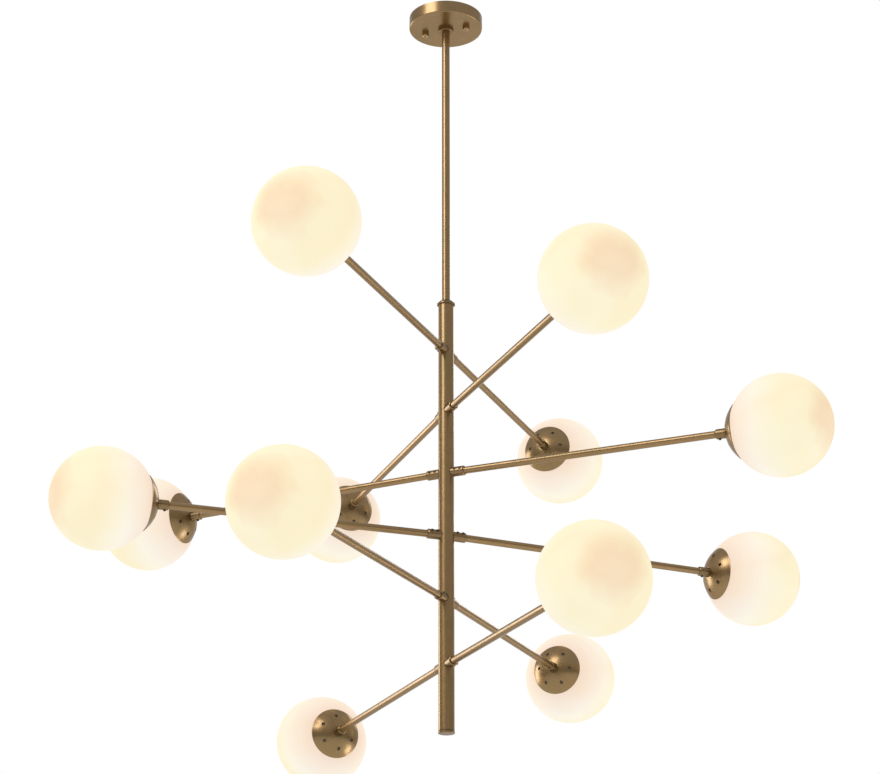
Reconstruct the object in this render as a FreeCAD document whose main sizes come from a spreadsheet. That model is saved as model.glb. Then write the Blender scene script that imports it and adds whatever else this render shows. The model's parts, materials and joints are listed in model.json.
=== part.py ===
import FreeCAD, Part
import os
import re

import Sketcher
from FreeCAD import Placement, Rotation, Vector

# A ceiling chandelier of six pairs of half arms on one hanging column, each half arm ending in a
# ventilated glass holder with an opal globe.  Millimetres, +Z up.  The origin is the centre of the
# ceiling screws, in the plane of the ceiling; +Y points away from the viewer and +X to the right.
# Everything on an arm is drawn in that arm's own frame: its X axis runs out along the arm from the
# column's axis, and the frame is then turned to the arm's heading and tipped by its droop.

# ---------------------------------------------------------------- driving dimensions
# alias, value in millimetres, degrees or pieces, what it is
SIZE_ROWS = [
    # overall layout
    ("level_count", 6, "pairs of half arms, one pair on each level"),
    ("first_level_drop", 591, "ceiling to the top pair of arms"),
    ("level_spacing", 100, "height between two pairs"),
    ("arm_reach", 534, "column axis to globe centre"),
    ("first_heading", -112.5, "heading of the top pair's front half"),
    ("heading_step", 45, "turn from one pair to the next one down"),
    ("arm_droop", 0.93, "sag of every half arm"),
    # opal globe
    ("globe_diameter", 150, "outside of the glass"),
    ("glass_wall", 3, "wall of the globe and its neck"),
    ("neck_diameter", 40, "outside of the globe's threaded neck"),
    ("neck_length", 4.6, "neck beyond the sphere"),
    ("glass_gap", 0.3, "play between glass and metal"),
    # glass holder
    ("rim_diameter", 82, "outside of the holder's rim"),
    ("holder_curve", 54.7, "outer radius of the spun dome"),
    ("holder_wall", 1.2, "sheet of the holder"),
    ("holder_flat", 17, "flat spot that the coupling seats on"),
    ("neck_ring_wall", 2.7, "ring that the glass neck screws into"),
    ("vent_count", 6, "vent holes in a holder"),
    ("vent_diameter", 5.6, "vent hole"),
    ("vent_circle", 55, "pitch circle of the vent holes"),
    # coupling between arm and holder
    ("coupling_diameter", 15, "outside of the coupling"),
    ("coupling_length", 17, "coupling outside the holder"),
    ("coupling_socket", 12, "depth of the socket for the arm"),
    ("coupling_chamfer", 1.2, "chamfer at the arm's end"),
    ("thread_diameter", 10, "threaded pipe used all over the lamp"),
    ("wire_bore", 7, "bore of the threaded pipe"),
    ("thread_play", 0.1, "radial play in threaded holes"),
    ("stub_length", 8, "threaded stub of the coupling"),
    # lampholder and lamp
    ("lampholder_diameter", 22, "ceramic body"),
    ("lampholder_length", 17, "ceramic body"),
    ("lampholder_cone", 4, "length of the cone behind the ceramic body"),
    ("lamp_socket", 8, "depth of the slot for the lamp's base"),
    ("lamp_base_width", 14, "lamp's flat base, across"),
    ("lamp_base_depth", 8, "lamp's flat base, front to back"),
    ("lamp_diameter", 15, "glass capsule of the lamp"),
    ("lamp_length", 42, "capsule out of the lampholder"),
    ("lamp_play", 0.15, "play of the lamp's base in its slot"),
    # arm, sleeve and screws
    ("arm_diameter", 11, "tube of an arm"),
    ("arm_wall", 1, "wall of that tube"),
    ("arm_inner_end", 8.5, "column axis to the arm's end inside the column"),
    ("sleeve_diameter", 15, "sleeve brazed to the column"),
    ("sleeve_end", 31.5, "column axis to the sleeve's mouth"),
    ("sleeve_chamfer", 1, "chamfer at the sleeve's mouth"),
    ("sliding_play", 0.05, "radial play of an arm in its sleeve"),
    ("screw_diameter", 4, "set screw"),
    ("screw_proud", 1.5, "set screw standing out of its sleeve"),
    ("screw_socket", 2.3, "hexagon socket, corner to corner"),
    ("screw_socket_depth", 1.6, "hexagon socket"),
    ("first_screw", 16.5, "column axis to the first set screw"),
    ("screw_pitch", 9, "first to second set screw"),
    ("coupling_screw", 6, "coupling's mouth to its set screw"),
    ("coupling_screw_turn", 180, "turn of that screw off the top"),
    # column and its caps
    ("column_diameter", 24, "tube of the column"),
    ("column_wall", 1.5, "wall of that tube"),
    ("column_above", 77.4, "top pair of arms to the tube's upper end"),
    ("column_below", 98.9, "bottom pair of arms to the tube's lower end"),
    ("braze_gap", 0.05, "sleeve's saddle off the column"),
    ("top_cap_diameter", 28.6, "flange of the upper cap"),
    ("top_cap_flange", 3, "height of that flange"),
    ("top_cap_height", 7.6, "upper cap, tube to stem"),
    ("top_cap_crown", 17, "flat top of the upper cap"),
    ("top_cap_step", 1, "flange outside the foot of the domed shoulder"),
    ("bottom_cap_diameter", 25, "disc of the lower cap"),
    ("bottom_cap_height", 3.8, "disc of the lower cap"),
    ("bottom_cap_neck", 1, "height of the neck between tube and disc"),
    ("cap_spigot", 10, "spigot of a cap inside the tube"),
    ("cap_rounding", 1.3, "rounded edges of the lower cap"),
    # stem and threaded nipples
    ("stem_diameter", 12.7, "stem tube"),
    ("stem_bore", 10.2, "bore of the stem"),
    ("nipple_grip", 12, "nipple inside the stem"),
    ("nipple_in_cap", 13, "lower nipple below the stem"),
    # canopy
    ("canopy_diameter", 120, "outside of the canopy"),
    ("canopy_height", 20, "ceiling to the canopy's face"),
    ("canopy_wall", 1, "spun sheet"),
    ("canopy_rounding", 2, "rounded edge of the face"),
    ("collar_diameter", 25, "collar under the canopy"),
    ("collar_height", 5.5, "collar under the canopy"),
    ("collar_spigot_diameter", 16, "part of the collar through the canopy"),
    ("collar_spigot_height", 3, "collar inside the canopy"),
    ("collar_rounding", 1, "edge of the collar"),
    ("stem_play", 0.3, "radial play of collar on stem"),
    # ceiling bracket and what it carries
    ("bracket_turn", -18, "heading of the bracket"),
    ("bracket_length", 112, "flat bar, foot to foot"),
    ("bracket_width", 22, "flat bar"),
    ("bracket_sheet", 2, "flat bar"),
    ("bracket_drop", 8, "room between ceiling and bar"),
    ("bracket_step", 88, "length of the dropped middle"),
    ("bracket_ramp", 3, "run of each joggle"),
    ("ceiling_screw_circle", 99, "ceiling screw to ceiling screw"),
    ("ceiling_screw_hole", 4.5, "holes for the ceiling screws"),
    ("stud_circle", 70.4, "canopy stud to canopy stud"),
    ("stud_diameter", 4, "canopy stud"),
    ("stud_play", 0.3, "radial play round a stud"),
    ("stud_nut_flats", 7, "stud nut, across flats"),
    ("stud_nut_height", 3, "stud nut"),
    ("stud_tail", 0.8, "stud above its nut"),
    ("cap_nut_diameter", 11, "domed nut that holds the canopy"),
    ("cap_nut_height", 9, "domed nut"),
    ("cap_nut_thread", 5.5, "depth of its thread"),
    ("nipple_nut_flats", 14, "nipple nut, across flats"),
    ("nipple_nut_height", 3, "nipple nut"),
    ("nipple_tail", 1, "nipple above its upper nut"),
    ("terminal_offset", 12, "column axis to the terminal block"),
    ("terminal_length", 15, "terminal block, along the bar"),
    ("terminal_width", 18, "terminal block, across the bar"),
    ("terminal_height", 7, "terminal block"),
    ("terminal_wire_hole", 3, "wire holes"),
    ("terminal_screw_hole", 3.6, "screw wells"),
    ("earth_screw_offset", 21, "column axis to the earth screw"),
    ("earth_head_diameter", 7.5, "head of the earth screw"),
    ("earth_head_height", 2.4, "head of the earth screw"),
    ("earth_screw_length", 5, "shank of the earth screw"),
]

# Small differences that hands left when the arms were set, in degrees, each for the front and the
# rear half: heading off the regular step, tilt (upwards), turn of the sleeve's set screws off the
# top and turn of the ring of vents.
LEVELS = [
    {"trim": (1.6, 0.35), "tilt": (0, -0.2), "screws": (115, 0), "vents": (0, 0)},
    {"trim": (-0.95, -1.8), "tilt": (1.7, -1.0), "screws": (70, -20), "vents": (0, 20)},
    {"trim": (-3.6, -2.9), "tilt": (0.15, -0.15), "screws": (68, -68), "vents": (0, 30)},
    {"trim": (0.2, 0.75), "tilt": (0.1, 0.15), "screws": (-58, 52), "vents": (0, 46)},
    {"trim": (-1.0, -0.85), "tilt": (0.4, 0.65), "screws": (-60, 10), "vents": (0, 4.5)},
    {"trim": (-2.0, 0.5), "tilt": (-0.2, -0.3), "screws": (-115, 0), "vents": (0, 25)},
]
SIDES = ("front", "rear")
TERMINAL_POLES = 3

doc = FreeCAD.newDocument("chandelier")
sheet = doc.addObject("Spreadsheet::Sheet", "Sizes")
for row, (alias, value, meaning) in enumerate(SIZE_ROWS, start=1):
    sheet.set("A%d" % row, alias)
    sheet.set("B%d" % row, str(value))
    sheet.set("C%d" % row, meaning)
    sheet.setAlias("B%d" % row, alias)
doc.recompute()

ALIASES = re.compile(r"\b(%s)\b" % "|".join(alias for alias, value, meaning in SIZE_ROWS))
nodes = {}


# ---------------------------------------------------------------- helpers
def bound(formula):
    """A formula over the sheet's aliases, as an expression that the document can bind to."""
    return ALIASES.sub(r"Sizes.\1", formula)


def size(formula):
    """The value that such a formula has now."""
    return float(sheet.evalExpression(bound(formula)))


def bind(target, **formulas):
    """Bind properties of an object to formulas over the sheet."""
    for name, formula in formulas.items():
        target.setExpression(name, bound(formula))


def origin_feature(body, role):
    """One of a body's own origin planes or axes."""
    return next(item for item in body.Origin.OriginFeatures if item.Role == role)


def new_body(label):
    body = doc.addObject("PartDesign::Body", label)
    body.Label = label
    return body


def new_sketch(body, plane, name):
    sketch = body.newObject("Sketcher::SketchObject", name)
    sketch.AttachmentSupport = (origin_feature(body, plane), [""])
    sketch.MapMode = "FlatFace"
    return sketch


def place_corner(sketch, edge, end, x, y):
    """Tie one end of an edge to its two formulas."""
    for kind, axis, formula in (("DistanceX", -2, x), ("DistanceY", -1, y)):
        if formula == "0":
            sketch.addConstraint(Sketcher.Constraint("PointOnObject", edge, end, axis))
        else:
            index = sketch.addConstraint(
                Sketcher.Constraint(kind, -1, 1, edge, end, size(formula)))
            sketch.setExpression("Constraints[%d]" % index, bound(formula))


def outline(sketch, corners):
    """Closed outline through corners given as pairs of formulas.  A third item "arc" makes the
    edge to the next corner an arc whose centre lies on the sketch's horizontal axis, and "arc_v"
    one whose centre lies on its vertical axis."""
    points = [Vector(size(corner[0]), size(corner[1]), 0) for corner in corners]
    starts = []
    for index, corner in enumerate(corners):
        here, there = points[index], points[(index + 1) % len(points)]
        if len(corner) == 2:
            edge = sketch.addGeometry(Part.LineSegment(here, there), False)
            starts.append((edge, 1, 2))
            continue
        swap = corner[2] == "arc_v"
        a, b = (Vector(p.y, p.x, 0) if swap else p for p in (here, there))
        offset = (b.dot(b) - a.dot(a)) / (2 * (b.x - a.x))
        centre = Vector(0, offset, 0) if swap else Vector(offset, 0, 0)
        radius = (here - centre).Length
        angles = [Vector(1, 0, 0).getAngle(p - centre) * (1 if p.y >= centre.y else -1)
                  for p in (here, there)]
        circle = Part.Circle(centre, Vector(0, 0, 1), radius)
        edge = sketch.addGeometry(Part.ArcOfCircle(circle, min(angles), max(angles)), False)
        starts.append((edge, 1, 2) if angles[0] < angles[1] else (edge, 2, 1))
        sketch.addConstraint(Sketcher.Constraint("PointOnObject", edge, 3, -2 if swap else -1))
    for index, (edge, start, end) in enumerate(starts):
        following = starts[(index + 1) % len(starts)]
        sketch.addConstraint(Sketcher.Constraint("Coincident", edge, end, following[0], following[1]))
        place_corner(sketch, edge, start, corners[index][0], corners[index][1])


def circle(sketch, x, y, diameter):
    """Circle whose place and diameter are formulas."""
    centre = Vector(size(x), size(y), 0)
    edge = sketch.addGeometry(Part.Circle(centre, Vector(0, 0, 1), size(diameter) / 2), False)
    place_corner(sketch, edge, 3, x, y)
    index = sketch.addConstraint(Sketcher.Constraint("Diameter", edge, size(diameter)))
    sketch.setExpression("Constraints[%d]" % index, bound(diameter))


def turned(label, corners, axis="H_Axis", plane="XY_Plane"):
    """Body turned on a lathe: an outline swung once round the sketch's own axis."""
    body = new_body(label)
    sketch = new_sketch(body, plane, "outline")
    outline(sketch, corners)
    turn = body.newObject("PartDesign::Revolution", "turn")
    turn.Profile = sketch
    turn.ReferenceAxis = (sketch, [axis])
    turn.Angle = 360
    return body


def upright(label, corners):
    """Body turned round the vertical axis; corners are (radius, height)."""
    return turned(label, corners, axis="V_Axis", plane="XZ_Plane")


def rounded(body, radius, picks):
    """Round the circular edges that picks(edge) chooses."""
    doc.recompute()
    names = ["Edge%d" % number for number, edge in enumerate(body.Shape.Edges, start=1)
             if isinstance(edge.Curve, Part.Circle) and picks(edge)]
    sharp = body.Tip
    fillet = body.newObject("PartDesign::Fillet", "rounding")
    fillet.Base = (sharp, names)
    bind(fillet, Radius=radius)
    body.Tip = fillet
    return body


def bore(body, plane, circles, reverse=False, depth=None, name="bore"):
    """Pocket of round holes; circles are (x, y, diameter) formulas.  Fails if nothing is cut."""
    doc.recompute()
    before = body.Shape.Volume
    sketch = new_sketch(body, plane, name + "_sketch")
    for x, y, diameter in circles:
        circle(sketch, x, y, diameter)
    pocket = body.newObject("PartDesign::Pocket", name)
    pocket.Profile = sketch
    if depth is None:
        pocket.Type = "ThroughAll"
        pocket.SideType = "Symmetric"
    else:
        pocket.Type = "Length"
        bind(pocket, Length=depth)
        pocket.Reversed = reverse
    body.Tip = pocket
    doc.recompute()
    if not body.Shape.Volume < before - 1e-6:
        raise RuntimeError("%s: %s cuts nothing" % (body.Label, name))
    return pocket


def pipe(label, outer, inner, low, high):
    """Upright tube between two heights."""
    return upright(label, [(inner, low), (outer, low), (outer, high), (inner, high)])


def hexagon_nut(label, flats, height, hole, low):
    """Hexagon nut with its lower face at a height."""
    body = new_body(label)
    sketch = new_sketch(body, "XY_Plane", "hexagon")
    reach = size(flats) / 2 / Rotation(Vector(0, 0, 1), 30).multVec(Vector(1, 0, 0)).x
    corners = [Rotation(Vector(0, 0, 1), 60 * turn).multVec(Vector(reach, 0, 0)) for turn in range(6)]
    for start, end in zip(corners, corners[1:] + corners[:1]):
        sketch.addGeometry(Part.LineSegment(start, end), False)
    frame_circle = sketch.addGeometry(Part.Circle(Vector(), Vector(0, 0, 1), reach), True)
    for edge in range(6):
        sketch.addConstraint(Sketcher.Constraint("Coincident", edge, 2, (edge + 1) % 6, 1))
        sketch.addConstraint(Sketcher.Constraint("PointOnObject", edge, 1, frame_circle))
        if edge:
            sketch.addConstraint(Sketcher.Constraint("Equal", 0, edge))
    sketch.addConstraint(Sketcher.Constraint("Coincident", frame_circle, 3, -1, 1))
    sketch.addConstraint(Sketcher.Constraint("PointOnObject", 0, 1, -1))
    index = sketch.addConstraint(Sketcher.Constraint("Diameter", frame_circle, 2 * reach))
    sketch.setExpression("Constraints[%d]" % index, bound("(%s) / cos(30)" % flats))
    circle(sketch, "0", "0", hole)
    pad = body.newObject("PartDesign::Pad", "nut")
    pad.Profile = sketch
    bind(pad, Length=height)
    body.Placement = Placement(Vector(0, 0, size(low)), Rotation())
    return body


def cylinder(label, radius, height):
    """Plain cylinder standing on the origin of its own frame."""
    solid = doc.addObject("Part::Cylinder", label)
    bind(solid, Radius=radius, Height=height)
    return solid


def node(label, feature):
    """Register the object that carries a node's shape."""
    feature.Label = label
    nodes[label] = feature
    return feature


def group(label, features):
    """Register a node that is a set of like pieces."""
    compound = doc.addObject("Part::Compound", label)
    compound.Links = features
    return node(label, compound)


# ---------------------------------------------------------------- frames of the arms
def level_height(level):
    return -size("first_level_drop") - level * size("level_spacing")


def setting(level, side, what):
    """One of the small differences of a half arm."""
    return LEVELS[level % len(LEVELS)][what][SIDES.index(side)]


def arm_frame(level, side, roll=0):
    """Frame of one half arm: X runs outwards, roll turns it about the arm."""
    heading = size("first_heading") + level * size("heading_step") + setting(level, side, "trim")
    # the half that comes towards the viewer is the front one, whatever the level
    while heading > 0:
        heading -= 180
    if side == "rear":
        heading += 180
    droop = size("arm_droop") - setting(level, side, "tilt")
    turn = Rotation(heading, droop, 0)
    return Placement(Vector(0, 0, level_height(level)), turn * Rotation(Vector(1, 0, 0), roll))


HALF_ARMS = [(level, side, "%d_%s" % (level + 1, side))
             for level in range(int(size("level_count"))) for side in SIDES]


# ---------------------------------------------------------------- stations along an arm
# Half chord of the dome at the rim, from the dome's centre
RIM_TO_CENTRE = "sqrt(holder_curve^2 - (rim_diameter / 2)^2)"
INNER_CURVE = "(holder_curve - holder_wall)"
INNER_RIM = "sqrt(%s^2 - %s^2)" % (INNER_CURVE, RIM_TO_CENTRE)
GLASS_REACH = "(globe_diameter / 2 + glass_gap)"
RIM = "(arm_reach - sqrt(%s^2 - %s^2))" % (GLASS_REACH, INNER_RIM)
DOME_CENTRE = "(%s + %s)" % (RIM, RIM_TO_CENTRE)
SEAT = "(%s - sqrt(holder_curve^2 - (holder_flat / 2)^2))" % DOME_CENTRE
INNER_SEAT = "(%s + holder_wall)" % SEAT
COUPLING_MOUTH = "(%s - coupling_length)" % SEAT
NECK_RADIUS = "(neck_diameter / 2)"
NECK_ROOT = "(arm_reach - sqrt((globe_diameter / 2)^2 - %s^2))" % NECK_RADIUS
RING_BORE = "(%s + glass_gap)" % NECK_RADIUS
RING_RADIUS = "(%s + neck_ring_wall)" % RING_BORE
RING_FACE = "(arm_reach - sqrt(%s^2 - %s^2))" % (GLASS_REACH, RING_BORE)
THREAD_HOLE = "(thread_diameter / 2 + thread_play)"
LAMP_FACE = "(%s + lampholder_length)" % INNER_SEAT


# ---------------------------------------------------------------- pieces on a half arm
def globe(label):
    """Opal globe: a sphere with a short neck towards the column, one wall thick all over."""
    inner = "(globe_diameter / 2 - glass_wall)"
    mouth = "(%s - glass_wall)" % NECK_RADIUS
    neck_end = "(%s - neck_length)" % NECK_ROOT
    return turned(label, [
        ("arm_reach + globe_diameter / 2", "0", "arc"),
        (NECK_ROOT, NECK_RADIUS),
        (neck_end, NECK_RADIUS),
        (neck_end, mouth),
        ("arm_reach - sqrt(%s^2 - %s^2)" % (inner, mouth), mouth, "arc"),
        ("arm_reach + %s" % inner, "0"),
    ])


def glass_holder(label):
    """Spun holder: a dome open towards the globe, a flat for the coupling, the ring for the
    glass neck and a circle of vents."""
    def dome(radius, height):
        return "%s - sqrt(%s^2 - %s^2)" % (DOME_CENTRE, radius, height)

    body = turned(label, [
        (SEAT, THREAD_HOLE),
        (SEAT, "holder_flat / 2", "arc"),
        (RIM, "rim_diameter / 2"),
        (RIM, INNER_RIM, "arc"),
        (dome(INNER_CURVE, RING_RADIUS), RING_RADIUS),
        (RING_FACE, RING_RADIUS),
        (RING_FACE, RING_BORE),
        (dome(INNER_CURVE, RING_BORE), RING_BORE, "arc"),
        (INNER_SEAT, "sqrt(%s^2 - (%s - %s)^2)" % (INNER_CURVE, DOME_CENTRE, INNER_SEAT)),
        (INNER_SEAT, THREAD_HOLE),
    ])
    vent = bore(body, "YZ_Plane", [("vent_circle / 2", "0", "vent_diameter")],
                reverse=True, depth=RIM, name="vent")
    pattern = body.newObject("PartDesign::PolarPattern", "vents")
    pattern.Originals = [vent]
    pattern.Axis = (origin_feature(body, "X_Axis"), [""])
    pattern.Angle = 360
    bind(pattern, Occurrences="vent_count")
    body.Tip = pattern
    return body


def coupling(label):
    """Turned coupling: a socket for the arm, a shoulder on the holder and a threaded stub."""
    rim = "coupling_diameter / 2"
    socket = "(arm_diameter / 2 + sliding_play)"
    socket_end = "(%s + coupling_socket)" % COUPLING_MOUTH
    stub_end = "(%s + holder_wall + stub_length)" % SEAT
    body = turned(label, [
        (COUPLING_MOUTH, socket),
        (COUPLING_MOUTH, rim + " - coupling_chamfer"),
        (COUPLING_MOUTH + " + coupling_chamfer", rim),
        (SEAT, rim),
        (SEAT, "thread_diameter / 2"),
        (stub_end, "thread_diameter / 2"),
        (stub_end, "wire_bore / 2"),
        (socket_end, "wire_bore / 2"),
        (socket_end, socket),
    ])
    bore(body, "XY_Plane", [(COUPLING_MOUTH + " + coupling_screw", "0", "screw_diameter + 2 * sliding_play")],
         reverse=True, depth="coupling_diameter", name="screw_hole")
    return body


def arm_tube(label):
    """Straight tube from inside the column to the bottom of the coupling's socket."""
    end = "(%s + coupling_socket)" % COUPLING_MOUTH
    inner = "arm_diameter / 2 - arm_wall"
    return turned(label, [
        ("arm_inner_end", inner),
        ("arm_inner_end", "arm_diameter / 2"),
        (end, "arm_diameter / 2"),
        (end, inner),
    ])


def sleeve(label, envelope):
    """Sleeve with two tapped holes, saddled on the column."""
    hole = "(arm_diameter / 2 + sliding_play)"
    root = "(column_diameter / 4)"
    rim = "sleeve_diameter / 2"
    body = turned(label + "_blank", [
        (root, hole),
        (root, rim),
        ("sleeve_end - sleeve_chamfer", rim),
        ("sleeve_end", rim + " - sleeve_chamfer"),
        ("sleeve_end", hole),
    ])
    screw_hole = bore(body, "XY_Plane", [("first_screw", "0", "screw_diameter + 2 * sliding_play")],
                      reverse=True, depth="sleeve_diameter", name="screw_hole")
    pattern = body.newObject("PartDesign::LinearPattern", "screw_holes")
    pattern.Originals = [screw_hole]
    pattern.Direction = (origin_feature(body, "X_Axis"), [""])
    bind(pattern, Length="screw_pitch")
    pattern.Occurrences = 2
    body.Tip = pattern
    saddled = doc.addObject("Part::Cut", label)
    saddled.Base = body
    saddled.Tool = envelope
    return body, saddled


def set_screw(label, outside):
    """Set screw standing on the arm along Z, with a hexagon socket in its outer end."""
    foot = "arm_diameter / 2"
    length = "(%s) / 2 + screw_proud - %s" % (outside, foot)
    shank = cylinder(label + "_shank", "screw_diameter / 2", length)
    socket = doc.addObject("Part::Prism", label + "_socket")
    socket.Polygon = 6
    bind(socket, Circumradius="screw_socket / 2", Height="screw_socket_depth")
    shank.Placement = Placement(Vector(0, 0, size(foot)), Rotation())
    socket.Placement = Placement(Vector(0, 0, size("%s + %s - screw_socket_depth" % (foot, length))),
                                 Rotation())
    screw = doc.addObject("Part::Cut", label)
    screw.Base = shank
    screw.Tool = socket
    return screw


def lampholder(label):
    """Ceramic lampholder screwed on the coupling's stub, slotted for the lamp's flat base."""
    stub_room = "(%s + stub_length + thread_play)" % INNER_SEAT
    body = turned(label, [
        (INNER_SEAT, THREAD_HOLE),
        (INNER_SEAT, "holder_flat / 2 - holder_wall"),
        (INNER_SEAT + " + lampholder_cone", "lampholder_diameter / 2"),
        (LAMP_FACE, "lampholder_diameter / 2"),
        (LAMP_FACE, "0"),
        (stub_room, "0"),
        (stub_room, THREAD_HOLE),
    ])
    doc.recompute()
    before = body.Shape.Volume
    sketch = new_sketch(body, "YZ_Plane", "slot_outline")
    half_width = "(lamp_base_width / 2 + lamp_play)"
    half_depth = "(lamp_base_depth / 2 + lamp_play)"
    outline(sketch, [("-" + half_width, "-" + half_depth), (half_width, "-" + half_depth),
                     (half_width, half_depth), ("-" + half_width, half_depth)])
    sketch.AttachmentOffset = Placement(Vector(0, 0, size(LAMP_FACE)), Rotation())
    sketch.setExpression("AttachmentOffset.Base.z", bound(LAMP_FACE))
    slot = body.newObject("PartDesign::Pocket", "slot")
    slot.Profile = sketch
    slot.Type = "Length"
    bind(slot, Length="lamp_socket")
    body.Tip = slot
    doc.recompute()
    if not body.Shape.Volume < before:
        raise RuntimeError(label + ": the slot cuts nothing")
    return body


def lamp(label):
    """Capsule lamp: a round-ended glass capsule on a flat base in the lampholder's slot."""
    foot = "(%s - lamp_socket + lamp_play)" % LAMP_FACE
    radius = "(lamp_diameter / 2)"
    tip = "(%s + lamp_length)" % LAMP_FACE
    shoulder = "(%s - %s)" % (tip, radius)
    body = turned(label + "_capsule", [
        (LAMP_FACE + " + lamp_play", "0"),
        (LAMP_FACE + " + lamp_play", radius),
        (shoulder, radius, "arc"),
        (tip, "0"),
    ])
    base = doc.addObject("Part::Box", label + "_base")
    bind(base, Length="%s + lamp_play - %s + 1" % (LAMP_FACE, foot), Width="lamp_base_width",
         Height="lamp_base_depth")
    base.Placement = Placement(Vector(size(foot), -size("lamp_base_width") / 2,
                                      -size("lamp_base_depth") / 2), Rotation())
    whole = doc.addObject("Part::Fuse", label)
    whole.Base = body
    whole.Tool = base
    return whole


# ---------------------------------------------------------------- all half arms
column_envelope = cylinder("column_envelope", "column_diameter / 2 + braze_gap",
                           "first_level_drop + level_count * level_spacing")
column_envelope.Placement = Placement(
    Vector(0, 0, -size("first_level_drop + level_count * level_spacing")), Rotation())

sleeves, sleeve_screws, couplings, coupling_screws, lampholders, lamps, drills = ([] for _ in range(7))
for level, side, name in HALF_ARMS:
    frame = arm_frame(level, side)
    node("arm_" + name, arm_tube("arm_" + name)).Placement = frame
    node("globe_" + name, globe("globe_" + name)).Placement = frame
    holder = node("holder_" + name, glass_holder("holder_" + name))
    holder.Placement = arm_frame(level, side, setting(level, side, "vents"))

    screw_frame = arm_frame(level, side, setting(level, side, "screws"))
    blank, saddled = sleeve("sleeve_" + name, column_envelope)
    blank.Placement = screw_frame
    sleeves.append(saddled)
    for number, station in enumerate(("first_screw", "first_screw + screw_pitch"), start=1):
        screw = set_screw("sleeve_screw_%s_%d" % (name, number), "sleeve_diameter")
        screw.Placement = screw_frame * Placement(Vector(size(station), 0, 0), Rotation())
        sleeve_screws.append(screw)

    end_frame = arm_frame(level, side, size("coupling_screw_turn"))
    end = coupling("coupling_" + name)
    end.Placement = end_frame
    couplings.append(end)
    screw = set_screw("coupling_screw_" + name, "coupling_diameter")
    screw.Placement = end_frame * Placement(
        Vector(size(COUPLING_MOUTH + " + coupling_screw"), 0, 0), Rotation())
    coupling_screws.append(screw)

    ceramic = lampholder("lampholder_" + name)
    ceramic.Placement = frame
    lampholders.append(ceramic)
    light = lamp("lamp_" + name)
    light.Placement = frame
    lamps.append(light)

    drill = cylinder("drill_" + name, "arm_diameter / 2 + 3 * sliding_play", "column_diameter")
    drill.Placement = frame * Placement(Vector(), Rotation(Vector(0, 1, 0), 90))
    drills.append(drill)

group("arm_sleeves", sleeves)
group("sleeve_set_screws", sleeve_screws)
group("arm_couplings", couplings)
group("coupling_set_screws", coupling_screws)
group("lampholders", lampholders)
group("lamps", lamps)

# ---------------------------------------------------------------- column, caps and stem
COLUMN_TOP = "(column_above - first_level_drop)"
COLUMN_BOTTOM = "(-first_level_drop - (level_count - 1) * level_spacing - column_below)"
COLUMN_BORE = "(column_diameter / 2 - column_wall)"
SPIGOT = "(%s - sliding_play)" % COLUMN_BORE
STEM_FOOT = "(%s + top_cap_height)" % COLUMN_TOP
BAR_UNDERSIDE = "(-bracket_drop - bracket_sheet)"
STEM_TOP = "(%s - nipple_nut_height)" % BAR_UNDERSIDE

plain_column = pipe("column_blank", "column_diameter / 2", COLUMN_BORE, COLUMN_BOTTOM, COLUMN_TOP)
all_drills = doc.addObject("Part::MultiFuse", "column_drills")
all_drills.Shapes = drills
column = doc.addObject("Part::Cut", "column_tube")
column.Base = plain_column
column.Tool = all_drills
node("column_tube", column)

top_cap = upright("column_top_cap", [
    (THREAD_HOLE, COLUMN_TOP + " - cap_spigot"),
    (SPIGOT, COLUMN_TOP + " - cap_spigot"),
    (SPIGOT, COLUMN_TOP),
    ("top_cap_diameter / 2", COLUMN_TOP),
    ("top_cap_diameter / 2", COLUMN_TOP + " + top_cap_flange"),
    ("top_cap_diameter / 2 - top_cap_step", COLUMN_TOP + " + top_cap_flange", "arc_v"),
    ("top_cap_crown / 2", STEM_FOOT),
    (THREAD_HOLE, STEM_FOOT),
])
node("column_top_cap", rounded(
    top_cap, "top_cap_step * 0.9",
    lambda edge: edge.Curve.Radius > size("top_cap_diameter / 2") - 0.1))

bottom_cap = upright("column_bottom_cap", [
    ("0", COLUMN_BOTTOM + " - bottom_cap_neck - bottom_cap_height"),
    ("bottom_cap_diameter / 2", COLUMN_BOTTOM + " - bottom_cap_neck - bottom_cap_height"),
    ("bottom_cap_diameter / 2", COLUMN_BOTTOM + " - bottom_cap_neck"),
    (SPIGOT, COLUMN_BOTTOM + " - bottom_cap_neck"),
    (SPIGOT, COLUMN_BOTTOM + " + cap_spigot"),
    ("0", COLUMN_BOTTOM + " + cap_spigot"),
])
node("column_bottom_cap", rounded(
    bottom_cap, "cap_rounding",
    lambda edge: edge.Curve.Radius > size("bottom_cap_diameter / 2") - 0.1))

node("stem_tube", pipe("stem_tube", "stem_diameter / 2", "stem_bore / 2", STEM_FOOT, STEM_TOP))
node("stem_nipple", pipe("stem_nipple", "thread_diameter / 2", "wire_bore / 2",
                         STEM_FOOT + " - nipple_in_cap", STEM_FOOT + " + nipple_grip"))
node("top_nipple", pipe("top_nipple", "thread_diameter / 2", "wire_bore / 2",
                        STEM_TOP + " - nipple_grip", "nipple_nut_height + nipple_tail - bracket_drop"))

# ---------------------------------------------------------------- canopy
CANOPY_FACE = "(-canopy_height)"
CANOPY_RADIUS = "(canopy_diameter / 2)"
COLLAR_BORE = "(stem_diameter / 2 + stem_play)"

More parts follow.
